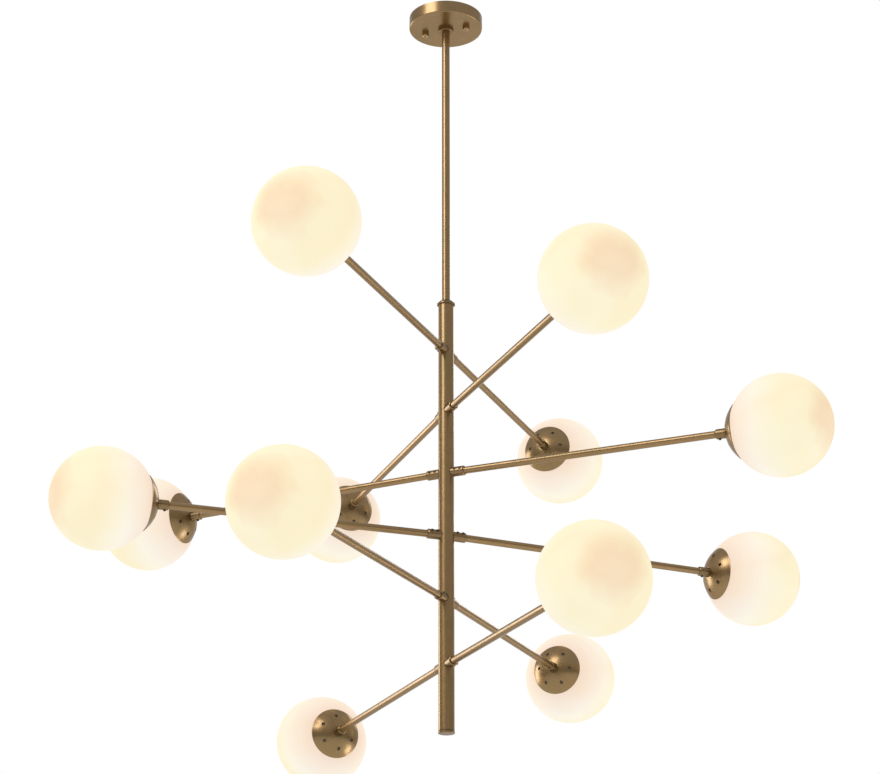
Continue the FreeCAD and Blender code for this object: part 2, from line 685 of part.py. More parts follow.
canopy = upright("canopy", [
    ("collar_spigot_diameter / 2 + thread_play", CANOPY_FACE),
    (CANOPY_RADIUS, CANOPY_FACE),
    (CANOPY_RADIUS, "0"),
    (CANOPY_RADIUS + " - canopy_wall", "0"),
    (CANOPY_RADIUS + " - canopy_wall", CANOPY_FACE + " + canopy_wall"),
    ("collar_spigot_diameter / 2 + thread_play", CANOPY_FACE + " + canopy_wall"),
])
rounded(canopy, "canopy_rounding", lambda edge: edge.CenterOfMass.z < size(CANOPY_FACE) + 0.01
        and edge.Curve.Radius > size("canopy_diameter") / 4)
bore(canopy, "XY_Plane", [("stud_circle / 2", "0", "stud_diameter + 2 * stud_play"),
                          ("-stud_circle / 2", "0", "stud_diameter + 2 * stud_play")], name="stud_holes")
ceiling_turn = Placement(Vector(), Rotation(size("bracket_turn"), 0, 0))
node("canopy", canopy).Placement = ceiling_turn

collar = upright("canopy_collar", [
    (COLLAR_BORE, CANOPY_FACE + " - collar_height"),
    ("collar_diameter / 2", CANOPY_FACE + " - collar_height"),
    ("collar_diameter / 2", CANOPY_FACE),
    ("collar_spigot_diameter / 2", CANOPY_FACE),
    ("collar_spigot_diameter / 2", CANOPY_FACE + " + collar_spigot_height"),
    (COLLAR_BORE, CANOPY_FACE + " + collar_spigot_height"),
])
node("canopy_collar", rounded(
    collar, "collar_rounding",
    lambda edge: edge.CenterOfMass.z < size(CANOPY_FACE) - size("collar_height") / 2
    and edge.Curve.Radius > size("collar_spigot_diameter / 2")))


def cap_nut(label):
    """Domed nut: a straight skirt with a ball end and a blind thread from above."""
    radius = "(cap_nut_diameter / 2)"
    low = "(%s - cap_nut_height)" % CANOPY_FACE
    shoulder = "(%s + %s)" % (low, radius)
    hole = "(stud_diameter / 2 + stud_play)"
    thread_end = "(%s - cap_nut_thread)" % CANOPY_FACE
    body = new_body(label)
    sketch = new_sketch(body, "XZ_Plane", "outline")
    outline(sketch, [
        ("0", low, "arc_v"),
        (radius, shoulder),
        (radius, CANOPY_FACE),
        (hole, CANOPY_FACE),
        (hole, thread_end),
        ("0", thread_end),
    ])
    turn = body.newObject("PartDesign::Revolution", "turn")
    turn.Profile = sketch
    turn.ReferenceAxis = (sketch, ["V_Axis"])
    turn.Angle = 360
    return body


def on_bar(offset):
    """Placement at a distance along the bracket from the column's axis."""
    return ceiling_turn * Placement(Vector(offset, 0, 0), Rotation())


cap_nuts, studs, stud_nuts = [], [], []
STUD_TOP = "(stud_nut_height + stud_tail - bracket_drop)"
STUD_FOOT = "(%s - cap_nut_thread + thread_play)" % CANOPY_FACE
for number, offset in enumerate((size("stud_circle / 2"), -size("stud_circle / 2")), start=1):
    nut = cap_nut("cap_nut_%d" % number)
    nut.Placement = on_bar(offset)
    cap_nuts.append(nut)
    stud = cylinder("stud_%d" % number, "stud_diameter / 2", "%s - %s" % (STUD_TOP, STUD_FOOT))
    stud.Placement = on_bar(offset) * Placement(Vector(0, 0, size(STUD_FOOT)), Rotation())
    studs.append(stud)
    lock_nut = hexagon_nut("stud_nut_%d" % number, "stud_nut_flats", "stud_nut_height",
                           "stud_diameter + 2 * sliding_play", "-bracket_drop")
    lock_nut.Placement = on_bar(offset) * lock_nut.Placement
    stud_nuts.append(lock_nut)
group("canopy_cap_nuts", cap_nuts)
group("bracket_studs", studs)
group("stud_nuts", stud_nuts)

# ---------------------------------------------------------------- ceiling bracket
bracket = new_body("ceiling_bracket")
side_view = new_sketch(bracket, "XZ_Plane", "side_view")
half = [
    ("bracket_step / 2 - bracket_ramp", BAR_UNDERSIDE),
    ("bracket_step / 2", "-bracket_sheet"),
    ("bracket_length / 2", "-bracket_sheet"),
    ("bracket_length / 2", "0"),
    ("bracket_step / 2 - bracket_sheet / 2", "0"),
    ("bracket_step / 2 - bracket_ramp - bracket_sheet / 2", "-bracket_drop"),
]
outline(side_view, half + [("-(%s)" % x, z) for x, z in reversed(half)])
bar = bracket.newObject("PartDesign::Pad", "bar")
bar.Profile = side_view
bar.SideType = "Symmetric"
bind(bar, Length="bracket_width")
stud_hole = "stud_diameter + 2 * sliding_play"
bore(bracket, "XY_Plane", [
    ("ceiling_screw_circle / 2", "0", "ceiling_screw_hole"),
    ("-ceiling_screw_circle / 2", "0", "ceiling_screw_hole"),
    ("stud_circle / 2", "0", stud_hole),
    ("-stud_circle / 2", "0", stud_hole),
    ("-earth_screw_offset", "0", stud_hole),
    ("0", "0", "2 * %s" % THREAD_HOLE),
], name="holes")
node("ceiling_bracket", bracket).Placement = ceiling_turn

upper_nut = hexagon_nut("upper_nipple_nut", "nipple_nut_flats", "nipple_nut_height",
                        "2 * %s" % THREAD_HOLE, "-bracket_drop")
lower_nut = hexagon_nut("lower_nipple_nut", "nipple_nut_flats", "nipple_nut_height",
                        "2 * %s" % THREAD_HOLE, STEM_TOP)
group("nipple_nuts", [upper_nut, lower_nut])

earth_head = cylinder("earth_head", "earth_head_diameter / 2", "earth_head_height")
earth_head.Placement = on_bar(-size("earth_screw_offset")) * Placement(
    Vector(0, 0, size(BAR_UNDERSIDE + " - earth_head_height")), Rotation())
earth_shank = cylinder("earth_shank", "stud_diameter / 2", "earth_screw_length")
earth_shank.Placement = on_bar(-size("earth_screw_offset")) * Placement(
    Vector(0, 0, size(BAR_UNDERSIDE)), Rotation())
earth_screw = doc.addObject("Part::Fuse", "earth_screw")
earth_screw.Base = earth_head
earth_screw.Tool = earth_shank
node("earth_screw", earth_screw)

# Terminal block: a plastic bar under the bracket with a wire hole and a screw well for each pole
block = doc.addObject("Part::Box", "terminal_blank")
bind(block, Length="terminal_length", Width="terminal_width", Height="terminal_height")
block_corner = Vector(0, -size("terminal_width") / 2, size(BAR_UNDERSIDE + " - terminal_height"))
block_frame = on_bar(size("terminal_offset")) * Placement(block_corner, Rotation())
block.Placement = block_frame
wells = []
for pole in range(TERMINAL_POLES):
    across = size("terminal_width") * (pole + 0.5) / TERMINAL_POLES
    wire_hole = cylinder("wire_hole_%d" % pole, "terminal_wire_hole / 2", "terminal_length")
    wire_hole.Placement = block_frame * Placement(
        Vector(0, across, size("terminal_height") / 2), Rotation(Vector(0, 1, 0), 90))
    screw_well = cylinder("screw_well_%d" % pole, "terminal_screw_hole / 2", "terminal_height / 2")
    screw_well.Placement = block_frame * Placement(Vector(size("terminal_length") / 2, across, 0),
                                                   Rotation())
    wells += [wire_hole, screw_well]
all_wells = doc.addObject("Part::MultiFuse", "terminal_wells")
all_wells.Shapes = wells
terminal_block = doc.addObject("Part::Cut", "terminal_block")
terminal_block.Base = block
terminal_block.Tool = all_wells
node("terminal_block", terminal_block)

# ---------------------------------------------------------------- check and write
doc.recompute()
broken = [item.Label for item in doc.Objects if "Invalid" in item.State or "Error" in item.State]
if broken:
    raise RuntimeError("objects that failed: " + ", ".join(broken))
os.makedirs("parts", exist_ok=True)
for label, feature in sorted(nodes.items()):
    shape = feature.Shape
    if shape.isNull() or not shape.isValid() or not shape.Solids:
        raise RuntimeError("bad shape: " + label)
    shape.exportStep("parts/%s.step" % label)
    print("%-22s %2d solids %10.1f mm3" % (label, len(shape.Solids), shape.Volume))
print(len(nodes), "nodes")
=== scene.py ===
import bpy
import bmesh
import json
import math
from mathutils import Matrix, Vector


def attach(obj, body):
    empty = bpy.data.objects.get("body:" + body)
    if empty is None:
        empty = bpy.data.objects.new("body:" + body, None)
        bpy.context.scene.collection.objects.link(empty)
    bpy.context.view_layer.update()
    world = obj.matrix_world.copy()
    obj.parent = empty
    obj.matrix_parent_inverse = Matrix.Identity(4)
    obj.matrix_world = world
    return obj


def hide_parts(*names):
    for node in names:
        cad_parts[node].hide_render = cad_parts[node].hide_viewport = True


# Looks of a ceiling chandelier: brushed antique brass and lit opal globes.  Metres, +Z up, origin
# at the ceiling.  The pieces of a half arm are drawn in millimetres about their local Z, which runs
# out along the arm; local X is level and local Y points up.

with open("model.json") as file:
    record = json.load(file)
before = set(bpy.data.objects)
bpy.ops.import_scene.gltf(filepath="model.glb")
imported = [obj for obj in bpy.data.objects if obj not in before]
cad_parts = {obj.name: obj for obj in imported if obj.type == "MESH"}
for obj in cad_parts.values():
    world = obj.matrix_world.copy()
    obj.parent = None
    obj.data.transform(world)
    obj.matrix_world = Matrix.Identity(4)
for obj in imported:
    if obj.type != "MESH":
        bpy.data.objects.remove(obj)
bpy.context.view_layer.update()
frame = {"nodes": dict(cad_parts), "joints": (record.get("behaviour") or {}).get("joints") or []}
scene = bpy.context.scene
MM = 0.001

# ---------------------------------------------------------------- sizes of the pieces, mm
# A small profile is a row of (radius, station) steps from the edge that its name says.

# the half arms: a front and a rear one on each level
LEVELS = range(1, 7)
SIDES = ("front", "rear")
FIRST_LEVEL, LEVEL_STEP = -591.0, -100.0
REACH = 534.0

# opal globe, with a rounded lip and two moulded thread ridges on its neck
GLOBE_R, GLASS, GLASS_GAP = 75.0, 3.0, 0.3
NECK_R, NECK_LENGTH = 20.0, 4.6
LIP_PROFILE = ((0, 0.6), (0.4, 0.1), (1.0, 0))
NECK_PROFILE = ((-0.9, 0), (-0.35, 0.15), (-0.1, 0.6), (0, 1.1), (-0.25, 1.7), (-0.25, 2.2),
                (0, 2.8), (-0.2, 3.6))

# spun dish that holds the globe: a shell on an arc, with vents and a neck ring inside
RIM_R, CURVE, SHEET, FLAT_R = 41.0, 54.7, 1.2, 8.5
FLAT_BEND = 0.5
RIM_EASE = 0.35
RIM_OUTSIDE_PROFILE = ((0, -0.25), (-0.1, 0))
RIM_INSIDE_PROFILE = ((0.25, 0), (0.02, -0.2))
RING_WALL = 2.7
VENTS, VENT_R, VENT_CIRCLE_R = 6, 2.8, 27.5
VENT_TOOL_L = 40.0

# coupling at the dish's back, with a groove, and its threaded stub
COUPLING_R, COUPLING_L, COUPLING_SOCKET = 7.5, 17.0, 12.0
COUPLING_CHAMFER = 1.2
GROOVE_PROFILE = ((0, -2.7), (-0.25, -2.5), (-0.25, -2.2), (0, -2.0))
THREAD_R, THREAD_HOLE, WIRE_R = 5.0, 5.1, 3.5
THREAD_TURNS, THREAD_PITCH, THREAD_DEPTH, THREAD_START = 7, 1.0, 0.45, 0.2
STUB_L = 8.0
STUB_TIP_PROFILE = ((0, -0.6), (-0.5, 0))

# ceramic lampholder: a cone and a barrel with a narrower front, a slot and two reliefs
BARREL_R, BARREL_L, BARREL_CONE = 11.0, 17.0, 4.0
FRONT_L, FRONT_STEP = 5.8, 0.7
STUB_ROOM = 0.1
RELIEF_PLACE, RELIEF_HALF_W, RELIEF_HALF_D, RELIEF_DEPTH = 9.2, 0.9, 2.2, 3.2
SLOT_TOOL_TOP, RELIEF_TOOL_TOP = 3, 1

# capsule lamp, with a flat base that stands in the lampholder's slot
LAMP_SLOT, LAMP_BASE_W, LAMP_BASE_D = 8.0, 14.0, 8.0
LAMP_R, LAMP_L, LAMP_GAP = 7.5, 42.0, 0.15
LAMP_FOOT_STEP, LAMP_FOOT_L, LAMP_SHOULDER = 1.2, 1.6, 1
LAMP_BASE_TOP, LAMP_BASE_BEVEL = 0.6, 0.4

# tube of the half arm, and the sleeve and braze that carry it on the column
ARM_R, ARM_WALL, ARM_START = 5.5, 1.0, 8.5
SLEEVE_R, SLEEVE_START, SLEEVE_END, SLEEVE_HOLE = 7.5, 6.0, 31.5, 5.55
SLEEVE_CHAMFER = 1.0
COLUMN_R, COLUMN_TOOL_HALF_L = 12.0, 30.0
BRAZE_R = 0.55
BRAZE_WAVES = ((0.07, 5, 0), (0.05, 11, 1))     # height, number round the bead, phase

# clearances and broken edges that the pieces share
FIT = 0.05              # a bore over its tube, and the sleeve's saddle over the column
HAIR = 0.02             # keeps the coupling's face off the dish's
EDGE, INNER_EDGE = 0.3, 0.2

# turn of the vents on the half arms where they don't start level, degrees
VENT_TURN = {"2_rear": 20, "3_rear": 30, "4_rear": 46, "5_rear": 4.5, "6_rear": 25}

# fineness: sides round a piece, and steps along its curves
WIDE_SIDES, FITTING_SIDES, LAMP_SIDES, ARM_SIDES, VENT_SIDES = 96, 56, 48, 40, 28
BRAZE_SIDES, BRAZE_SECTION = 72, 8
GLOBE_STEPS, OUTSIDE_STEPS, INSIDE_STEPS, CORE_STEPS = 72, 22, 12, 10
ARM_STEPS, LAMP_TIP_STEPS = 24, 14
FINE_EASE, EASE = 4, 3
BEVEL_STEPS = 3

# an edge stays sharp where its faces meet at more than this, degrees
SHARP, GLOBE_SHARP, LAMP_SHARP, BASE_SHARP, BRAZE_SHARP = 32, 40, 50, 30, 60

# stations along a half arm, from the column's axis
RIM_TO_CENTRE = math.sqrt(CURVE ** 2 - RIM_R ** 2)
INNER_CURVE = CURVE - SHEET
INNER_RIM_R = math.sqrt(INNER_CURVE ** 2 - RIM_TO_CENTRE ** 2)
GLASS_REACH = GLOBE_R + GLASS_GAP
RIM = REACH - math.sqrt(GLASS_REACH ** 2 - INNER_RIM_R ** 2)
DOME = RIM + RIM_TO_CENTRE
SEAT = DOME - math.sqrt(CURVE ** 2 - FLAT_R ** 2)
BACK = SEAT + SHEET
DISH_MIDDLE = SEAT + 9.0
MOUTH = SEAT - COUPLING_L
ARM_END = MOUTH + COUPLING_SOCKET
STUB_END = BACK + STUB_L
RING_BORE = NECK_R + GLASS_GAP
RING_R = RING_BORE + RING_WALL
RING_FACE = REACH - math.sqrt(GLASS_REACH ** 2 - RING_BORE ** 2)
LAMP_FACE = BACK + BARREL_L

# ---------------------------------------------------------------- colours, linear
# A ramp is a row of (place, colour) stops.
BRASS_PATINA = (
    (0.30, (0.350, 0.214, 0.091)),
    (0.50, (0.335, 0.211, 0.089)),
    (0.72, (0.305, 0.203, 0.080)),
)
BRASS_GLINT = (0.36, 0.31, 0.26, 1)
# opal glass, with its lamp on: the even glow, bottom to top, the tint from the neck to the far
# side, and painted shade that dims it round the neck and at the far side, where the lamp's tip
# throws less light
OPAL_GLOW = (
    (0.0, (0.872, 0.836, 0.750)),
    (0.35, (0.872, 0.810, 0.688)),
    (0.65, (0.868, 0.780, 0.648)),
    (1.0, (0.872, 0.810, 0.700)),
)
OPAL_CREAM = (
    (0.30, (1, 1, 1)),
    (0.62, (1, 0.975, 0.80)),
)
# painted shade at the far pole, where the lamp's tip throws less light
OPAL_TIP_SHADE = (
    (0.86, (1, 1, 1)),
    (0.935, (0.97, 0.88, 0.855)),
    (0.975, (0.95, 0.82, 0.805)),
    (1.0, (0.965, 0.845, 0.84)),
)
# painted shade round the neck: dark behind the vents under the dish, then a dim pinkish band past
# its rim
OPAL_NECK_SHADE = (
    (0.043, (0.03, 0.025, 0.02)),
    (0.060, (0.20, 0.165, 0.14)),
    (0.077, (0.92, 0.78, 0.74)),
    (0.17, (0.965, 0.89, 0.865)),
    (0.36, (1, 1, 1)),
)
OPAL_SKIN = (
    (0.043, (0.40, 0.345, 0.27)),
    (0.060, (0.36, 0.31, 0.25)),
    (0.078, (0.19, 0.17, 0.135)),
)
CERAMIC_CLOUDS = ((0.35, (0.77, 0.75, 0.70)), (0.65, (0.84, 0.83, 0.79)))
LAMP_FROST = ((0.3, (0.62, 0.56, 0.45)), (0.7, (0.68, 0.63, 0.52)))
LAMP_GLOW = (1.0, 0.80, 0.50, 1)
STEEL_CLOUDS = ((0.3, (0.50, 0.50, 0.49)), (0.7, (0.62, 0.61, 0.57)))
STEEL_FLECK = (0.40, 0.40, 0.41, 1)
PLASTIC_CLOUDS = ((0.35, (0.74, 0.72, 0.66)), (0.65, (0.80, 0.78, 0.73)))
FLOOR_CLOUDS = ((0.3, (0.80, 0.79, 0.77)), (0.7, (0.82, 0.81, 0.79)))
FLOOR_GLOW = (1, 0.99, 0.97, 1)
STUDIO_LIGHT = (1, 0.97, 0.92)
STUDIO_AIR = (1, 0.985, 0.96)
WHITE = (1, 1, 1)

# ---------------------------------------------------------------- node helpers
MIX_FACTOR, MIX_A, MIX_B, MIX_RESULT = 0, 6, 7, 2       # a Mix node's sockets for colours
NOISE_LOW, NOISE_HIGH = 0.3, 0.7                        # nearly all of a noise lies between these


class Tree:
    """Short hand for building a node tree."""

    def __init__(self, tree):
        self.tree = tree
        tree.nodes.clear()

    def add(self, kind, **values):
        node = self.tree.nodes.new("ShaderNode" + kind)
        for key, value in values.items():
            setattr(node, key, value)
        return node

    def feed(self, socket, value):
        """Links the socket to another node's output, or sets a plain value on it."""
        if isinstance(value, bpy.types.NodeSocket):
            self.tree.links.new(value, socket)
        else:
            socket.default_value = value

    def math(self, operation, *values, clamp=False):
        node = self.add("Math", operation=operation, use_clamp=clamp)
        for socket, value in zip(node.inputs, values):
            self.feed(socket, value)
        return node.outputs[0]


class Finish(Tree):
    """A material with one Principled shader."""

    def __init__(self, name):
        self.material = bpy.data.materials.new(name)
        self.material.use_nodes = True
        super().__init__(self.material.node_tree)
        self.shader = self.add("BsdfPrincipled")
        self.feed(self.add("OutputMaterial").inputs["Surface"], self.shader.outputs["BSDF"])

    def coords(self, scale=(1, 1, 1)):
        mapping = self.add("Mapping")
        self.feed(mapping.inputs["Vector"], self.add("TexCoord").outputs["Object"])
        self.feed(mapping.inputs["Scale"], scale)
        return mapping.outputs["Vector"]

    def noise(self, scale, detail=3.0, roughness=0.5, grain=(1, 1, 1)):
        node = self.add("TexNoise")
        self.feed(node.inputs["Vector"], self.coords(grain))
        self.feed(node.inputs["Scale"], scale)
        self.feed(node.inputs["Detail"], detail)
        self.feed(node.inputs["Roughness"], roughness)
        return node.outputs["Fac"]

    def ramp(self, fac, stops):
        node = self.add("ValToRGB")
        self.feed(node.inputs["Fac"], fac)
        elements = node.color_ramp.elements
        while len(elements) < len(stops):
            elements.new(0.5)
        for element, (place, colour) in zip(elements, stops):
            element.position = place
            element.color = (*colour, 1)
        return node.outputs["Color"]

    def mix(self, fac, a, b, blend="MIX"):
        node = self.add("Mix", data_type="RGBA", blend_type=blend)
        self.feed(node.inputs[MIX_FACTOR], fac)
        self.feed(node.inputs[MIX_A], a)
        self.feed(node.inputs[MIX_B], b)
        return node.outputs[MIX_RESULT]

    def times(self, a, b):
        return self.mix(1.0, a, b, "MULTIPLY")

    def span(self, value, low, high, to_low=0.0, to_high=1.0):
        node = self.add("MapRange")
        for socket, number in zip(node.inputs[:5], (value, low, high, to_low, to_high)):
            self.feed(socket, number)
        return node.outputs[0]

    def vary(self, noise, low, high):
        """A noise spread from low to high."""
        return self.span(noise, NOISE_LOW, NOISE_HIGH, low, high)

    def bump(self, height, strength, distance):
        node = self.add("Bump")
        self.feed(node.inputs["Strength"], strength)
        self.feed(node.inputs["Distance"], distance)
        self.feed(node.inputs["Height"], height)
        self.feed(self.shader.inputs["Normal"], node.outputs["Normal"])

    def set(self, **values):
        for name, value in values.items():
            self.feed(self.shader.inputs[name.replace("_", " ")], value)


# ---------------------------------------------------------------- materials
def brass(name, grain, tint=1.0, rough=0.31, anisotropy=0.4, marks=1.0):
    """Brushed antique brass under a thin lacquer.  grain scales the brush marks on each axis: they
    run along an axis with a small number, and are fine across one with a large number."""
    n = Finish(name)
    patina = n.noise(scale=14, detail=4, roughness=0.55)
    mottle = n.noise(scale=70, detail=3, roughness=0.55)
    brush = n.noise(scale=600, detail=3, roughness=0.6, grain=grain)
    warm = n.ramp(patina, [(place, [part * tint for part in colour])
                           for place, colour in BRASS_PATINA])
    level = n.math("MULTIPLY", n.span(mottle, 0.35, 0.7, 0.94, 1.03),
                   n.vary(brush, 1 - 0.05 * marks, 1 + 0.04 * marks))
    shade = n.add("CombineXYZ")
    for socket in shade.inputs:
        n.feed(socket, level)
    n.set(Base_Color=n.times(warm, shade.outputs[0]), Metallic=1.0,
          Roughness=n.math("ADD", n.vary(patina, rough - 0.03, rough + 0.04),
                           n.vary(brush, -0.02, 0.03)),
          Anisotropic=anisotropy, Anisotropic_Rotation=0.25,
          Tangent=n.add("Tangent", direction_type="RADIAL", axis="Z").outputs[0],
          Coat_Weight=0.7, Coat_Roughness=0.2, Specular_Tint=BRASS_GLINT)
    n.bump(brush, strength=0.03 * marks, distance=0.05 * MM)
    return n.material


def opal():
    """Lit opal glass with an acid-etched skin: an even cream glow, a painted pinkish shade opposite
    the neck, where the lamp points and its tip throws less light, and a painted shade round the
    neck, most of it under the dish, where the dish and lampholder shade the glass."""
    n = Finish("opal_glass")
    split = n.add("SeparateXYZ")
    n.feed(split.inputs[0], n.add("TexCoord").outputs["Object"])
    up = n.span(split.outputs["Y"], -GLOBE_R * MM, GLOBE_R * MM)
    out = n.span(split.outputs["Z"], -GLOBE_R * MM, GLOBE_R * MM)
    cloud = n.noise(scale=11, detail=2)
    veil = n.noise(scale=24)
    etching = n.noise(scale=900, roughness=0.6)
    glow = n.ramp(n.math("ADD", up, n.vary(cloud, -0.35, 0.35)), OPAL_GLOW)
    glow = n.times(glow, n.ramp(out, OPAL_CREAM))
    # painted shade where the lamp's tip throws less light; the veil makes its edge and middle
    # uneven
    glow = n.times(glow, n.ramp(n.math("ADD", out, n.vary(veil, -0.035, 0.035)), OPAL_TIP_SHADE))
    # painted shade round the neck, where the dish and lampholder shade the glass and the vents look
    # into the dark
    glow = n.times(glow, n.ramp(out, OPAL_NECK_SHADE))
    n.set(Base_Color=n.ramp(out, OPAL_SKIN), Roughness=n.vary(veil, 0.44, 0.54), IOR=1.5,
          Specular_IOR_Level=0.0, Emission_Color=glow, Emission_Strength=1.0)
    n.bump(etching, strength=0.06, distance=0.06 * MM)
    return n.material


def ceramic():
    n = Finish("lampholder_ceramic")
    cloud = n.noise(scale=120)
    grain = n.noise(scale=1500, roughness=0.6)
    n.set(Base_Color=n.ramp(cloud, CERAMIC_CLOUDS), Roughness=n.vary(grain, 0.42, 0.58), IOR=1.5)
    n.bump(grain, strength=0.15, distance=0.2 * MM)
    return n.material


def lamp_glass():
    n = Finish("lamp_glass")
    frost = n.noise(scale=700, roughness=0.6)
    n.set(Base_Color=n.ramp(frost, LAMP_FROST), Roughness=n.vary(frost, 0.28, 0.4), IOR=1.46,
          Emission_Color=LAMP_GLOW, Emission_Strength=0.4)
    n.bump(frost, strength=0.1, distance=0.2 * MM)
    return n.material


def plated_steel():
    n = Finish("plated_steel")
    cloud = n.noise(scale=60, detail=4, roughness=0.6)
    brush = n.noise(scale=500, roughness=0.6, grain=(1, 8, 8))
    spangle = n.add("TexVoronoi")
    n.feed(spangle.inputs["Vector"], n.coords())
    n.feed(spangle.inputs["Scale"], 260)
    flecks = n.span(spangle.outputs["Distance"], 0.1, 0.8, 0.94, 1.05)
    n.set(Base_Color=n.mix(n.math("SUBTRACT", 1.05, flecks), n.ramp(cloud, STEEL_CLOUDS),
                           STEEL_FLECK),
          Metallic=1.0,
          Roughness=n.math("ADD", n.vary(cloud, 0.24, 0.36), n.vary(brush, -0.03, 0.05)))
    n.bump(brush, strength=0.08, distance=0.1 * MM)
    return n.material


def terminal_plastic():
    n = Finish("terminal_plastic")
    cloud = n.noise(scale=200)
    grain = n.noise(scale=2200, roughness=0.6)
    n.set(Base_Color=n.ramp(cloud, PLASTIC_CLOUDS), Roughness=n.vary(grain, 0.4, 0.52), IOR=1.5)
    n.bump(grain, strength=0.12, distance=0.1 * MM)
    return n.material


BRASS_TUBE = brass("brass_tube", (6, 6, 0.25), rough=0.35, marks=0.4)
BRASS_SPUN = brass("brass_spun", (0.5, 0.5, 5), tint=0.94, anisotropy=0.25, marks=0.5)
BRASS_TURNED = brass("brass_turned", (0.6, 0.6, 6), tint=0.78, rough=0.34, anisotropy=0.2,
                     marks=1.5)
BRASS_SCREW = brass("brass_screw", (2, 2, 2), tint=0.40, rough=0.32, anisotropy=0.0)
BRASS_NUT = brass("brass_nut", (2, 2, 2), tint=1.1, rough=0.17, anisotropy=0.0)
OPAL = opal()
CERAMIC = ceramic()
LAMP_GLASS = lamp_glass()
STEEL = plated_steel()
PLASTIC = terminal_plastic()


# ---------------------------------------------------------------- mesh helpers
def eased(corners, steps):
    """Outline with rounded corners; a corner is (radius, station) or has its rounding as well."""
    points = []
    for index, corner in enumerate(corners):
        here = Vector(corner[:2])
        if len(corner) == 2:
            points.append(tuple(here))
            continue
        rounding = corner[2]
        before = (Vector(corners[index - 1][:2]) - here).normalized()
        after = (Vector(corners[(index + 1) % len(corners)][:2]) - here).normalized()
        half = before.angle(after) / 2
        reach = rounding / math.tan(half)
        centre = here + (before + after).normalized() * (rounding / math.sin(half))
        start, end = here + before * reach - centre, here + after * reach - centre
        sweep = start.angle_signed(end)
        for step in range(steps + 1):
            turn = Matrix.Rotation(-sweep * step / steps, 2)
            points.append(tuple(centre + turn @ start))
    return points


def placed(radius, station, profile):
    """A small profile, moved to the edge that it starts from."""
    return [(radius + out, station + along) for out, along in profile]


def arc(centre, radius, start, end, steps):
    """Points of an arc about a centre on the axis, between two angles from the axis."""
    angles = [start + (end - start) * i / steps for i in range(steps + 1)]
    return [(radius * math.sin(angle), centre - radius * math.cos(angle)) for angle in angles]


def dome_arc(radius, start, end, steps):
    """Points of the dish's arc at a radius, between two distances from the axis."""
    return arc(DOME, radius, math.asin(start / radius), math.asin(end / radius), steps)


def globe_arc(radius, start):
    """Points of the globe's arc at a radius, from a distance from the axis to the far pole."""
    points = arc(REACH, radius, math.asin(start / radius), math.pi, GLOBE_STEPS)
    points[-1] = (0, REACH + radius)
    return points


def made(bm, name):
    """The mesh of a bmesh, which ends here."""
    mesh = bpy.data.meshes.new(name)
    bm.to_mesh(mesh)
    bm.free()
    return mesh


def turned_mesh(name, outline, sides, origin=0.0):
    """Closed surface of revolution about Z, from (radius, station) points.  The outline is a closed
    loop, or starts and ends on the axis."""
    bm = bmesh.new()
    angles = [2 * math.pi * i / sides for i in range(sides)]
    rings = []
    for radius, station in outline:
        z = (station - origin) * MM
        if radius == 0:
            rings.append([bm.verts.new((0, 0, z))])
        else:
            rings.append([bm.verts.new((radius * MM * math.cos(a), radius * MM * math.sin(a), z))
                          for a in angles])
    ends_on_axis = len(rings[0]) == 1 and len(rings[-1]) == 1
    following = rings[1:] if ends_on_axis else rings[1:] + rings[:1]
    for low, high in zip(rings, following):
        for i in range(sides):
            j = (i + 1) % sides
            corners = (low[i % len(low)], low[j % len(low)],
                       high[j % len(high)], high[i % len(high)])
            unique = list(dict.fromkeys(corners))
            if len(unique) > 2:
                bm.faces.new(unique)
    bmesh.ops.recalc_face_normals(bm, faces=bm.faces)
    return made(bm, name)


def box_mesh(name, low, high, bevel=0.0):
    bm = bmesh.new()
    bmesh.ops.create_cube(bm, size=1)
    for vertex in bm.verts:
        vertex.co = Vector([(low[i] if vertex.co[i] < 0 else high[i]) * MM for i in range(3)])
    if bevel:
        bmesh.ops.bevel(bm, geom=bm.edges[:], offset=bevel * MM, segments=BEVEL_STEPS, profile=0.5,
                        affect="EDGES")
    return made(bm, name)


def cut(mesh, tools):
    """The mesh with each tool mesh taken out of it."""
    target = bpy.data.objects.new("cut_target", mesh)
    scene.collection.objects.link(target)
    cutters = []
    for tool in tools:
        cutter = bpy.data.objects.new("cutter", tool)
        scene.collection.objects.link(cutter)
        cutters.append(cutter)
        modifier = target.modifiers.new("cut", "BOOLEAN")
        modifier.operation = "DIFFERENCE"
        modifier.solver = "EXACT"
        modifier.object = cutter
    bpy.context.view_layer.update()
    result = bpy.data.meshes.new_from_object(
        target.evaluated_get(bpy.context.evaluated_depsgraph_get()))
    for extra in [target] + cutters:
        bpy.data.objects.remove(extra)
    return result


def smoothed(mesh, angle):
    mesh.shade_smooth()
    mesh.set_sharp_from_angle(angle=math.radians(angle))
    return mesh


# ---------------------------------------------------------------- meshes of the half arms' pieces
def globe_mesh():
    mouth_r = NECK_R - GLASS
    end = REACH - math.sqrt(GLOBE_R ** 2 - NECK_R ** 2) - NECK_LENGTH
    inside = globe_arc(GLOBE_R - GLASS, mouth_r)[::-1]
    neck = placed(mouth_r, end, LIP_PROFILE) + placed(NECK_R, end, NECK_PROFILE)
    outline = inside + neck + globe_arc(GLOBE_R, NECK_R)
    return smoothed(turned_mesh("globe", outline, WIDE_SIDES, REACH), GLOBE_SHARP)


def vent_tools():
    tools = []
    for index in range(VENTS):
        angle = 2 * math.pi * index / VENTS
        place = (VENT_CIRCLE_R * MM * math.cos(angle), VENT_CIRCLE_R * MM * math.sin(angle), 0)
        bm = bmesh.new()
        bmesh.ops.create_cone(bm, cap_ends=True, segments=VENT_SIDES, radius1=VENT_R * MM,
                              radius2=VENT_R * MM, depth=VENT_TOOL_L * MM)
        bmesh.ops.translate(bm, vec=place, verts=bm.verts)
        tools.append(made(bm, "vent_tool"))
    return tools


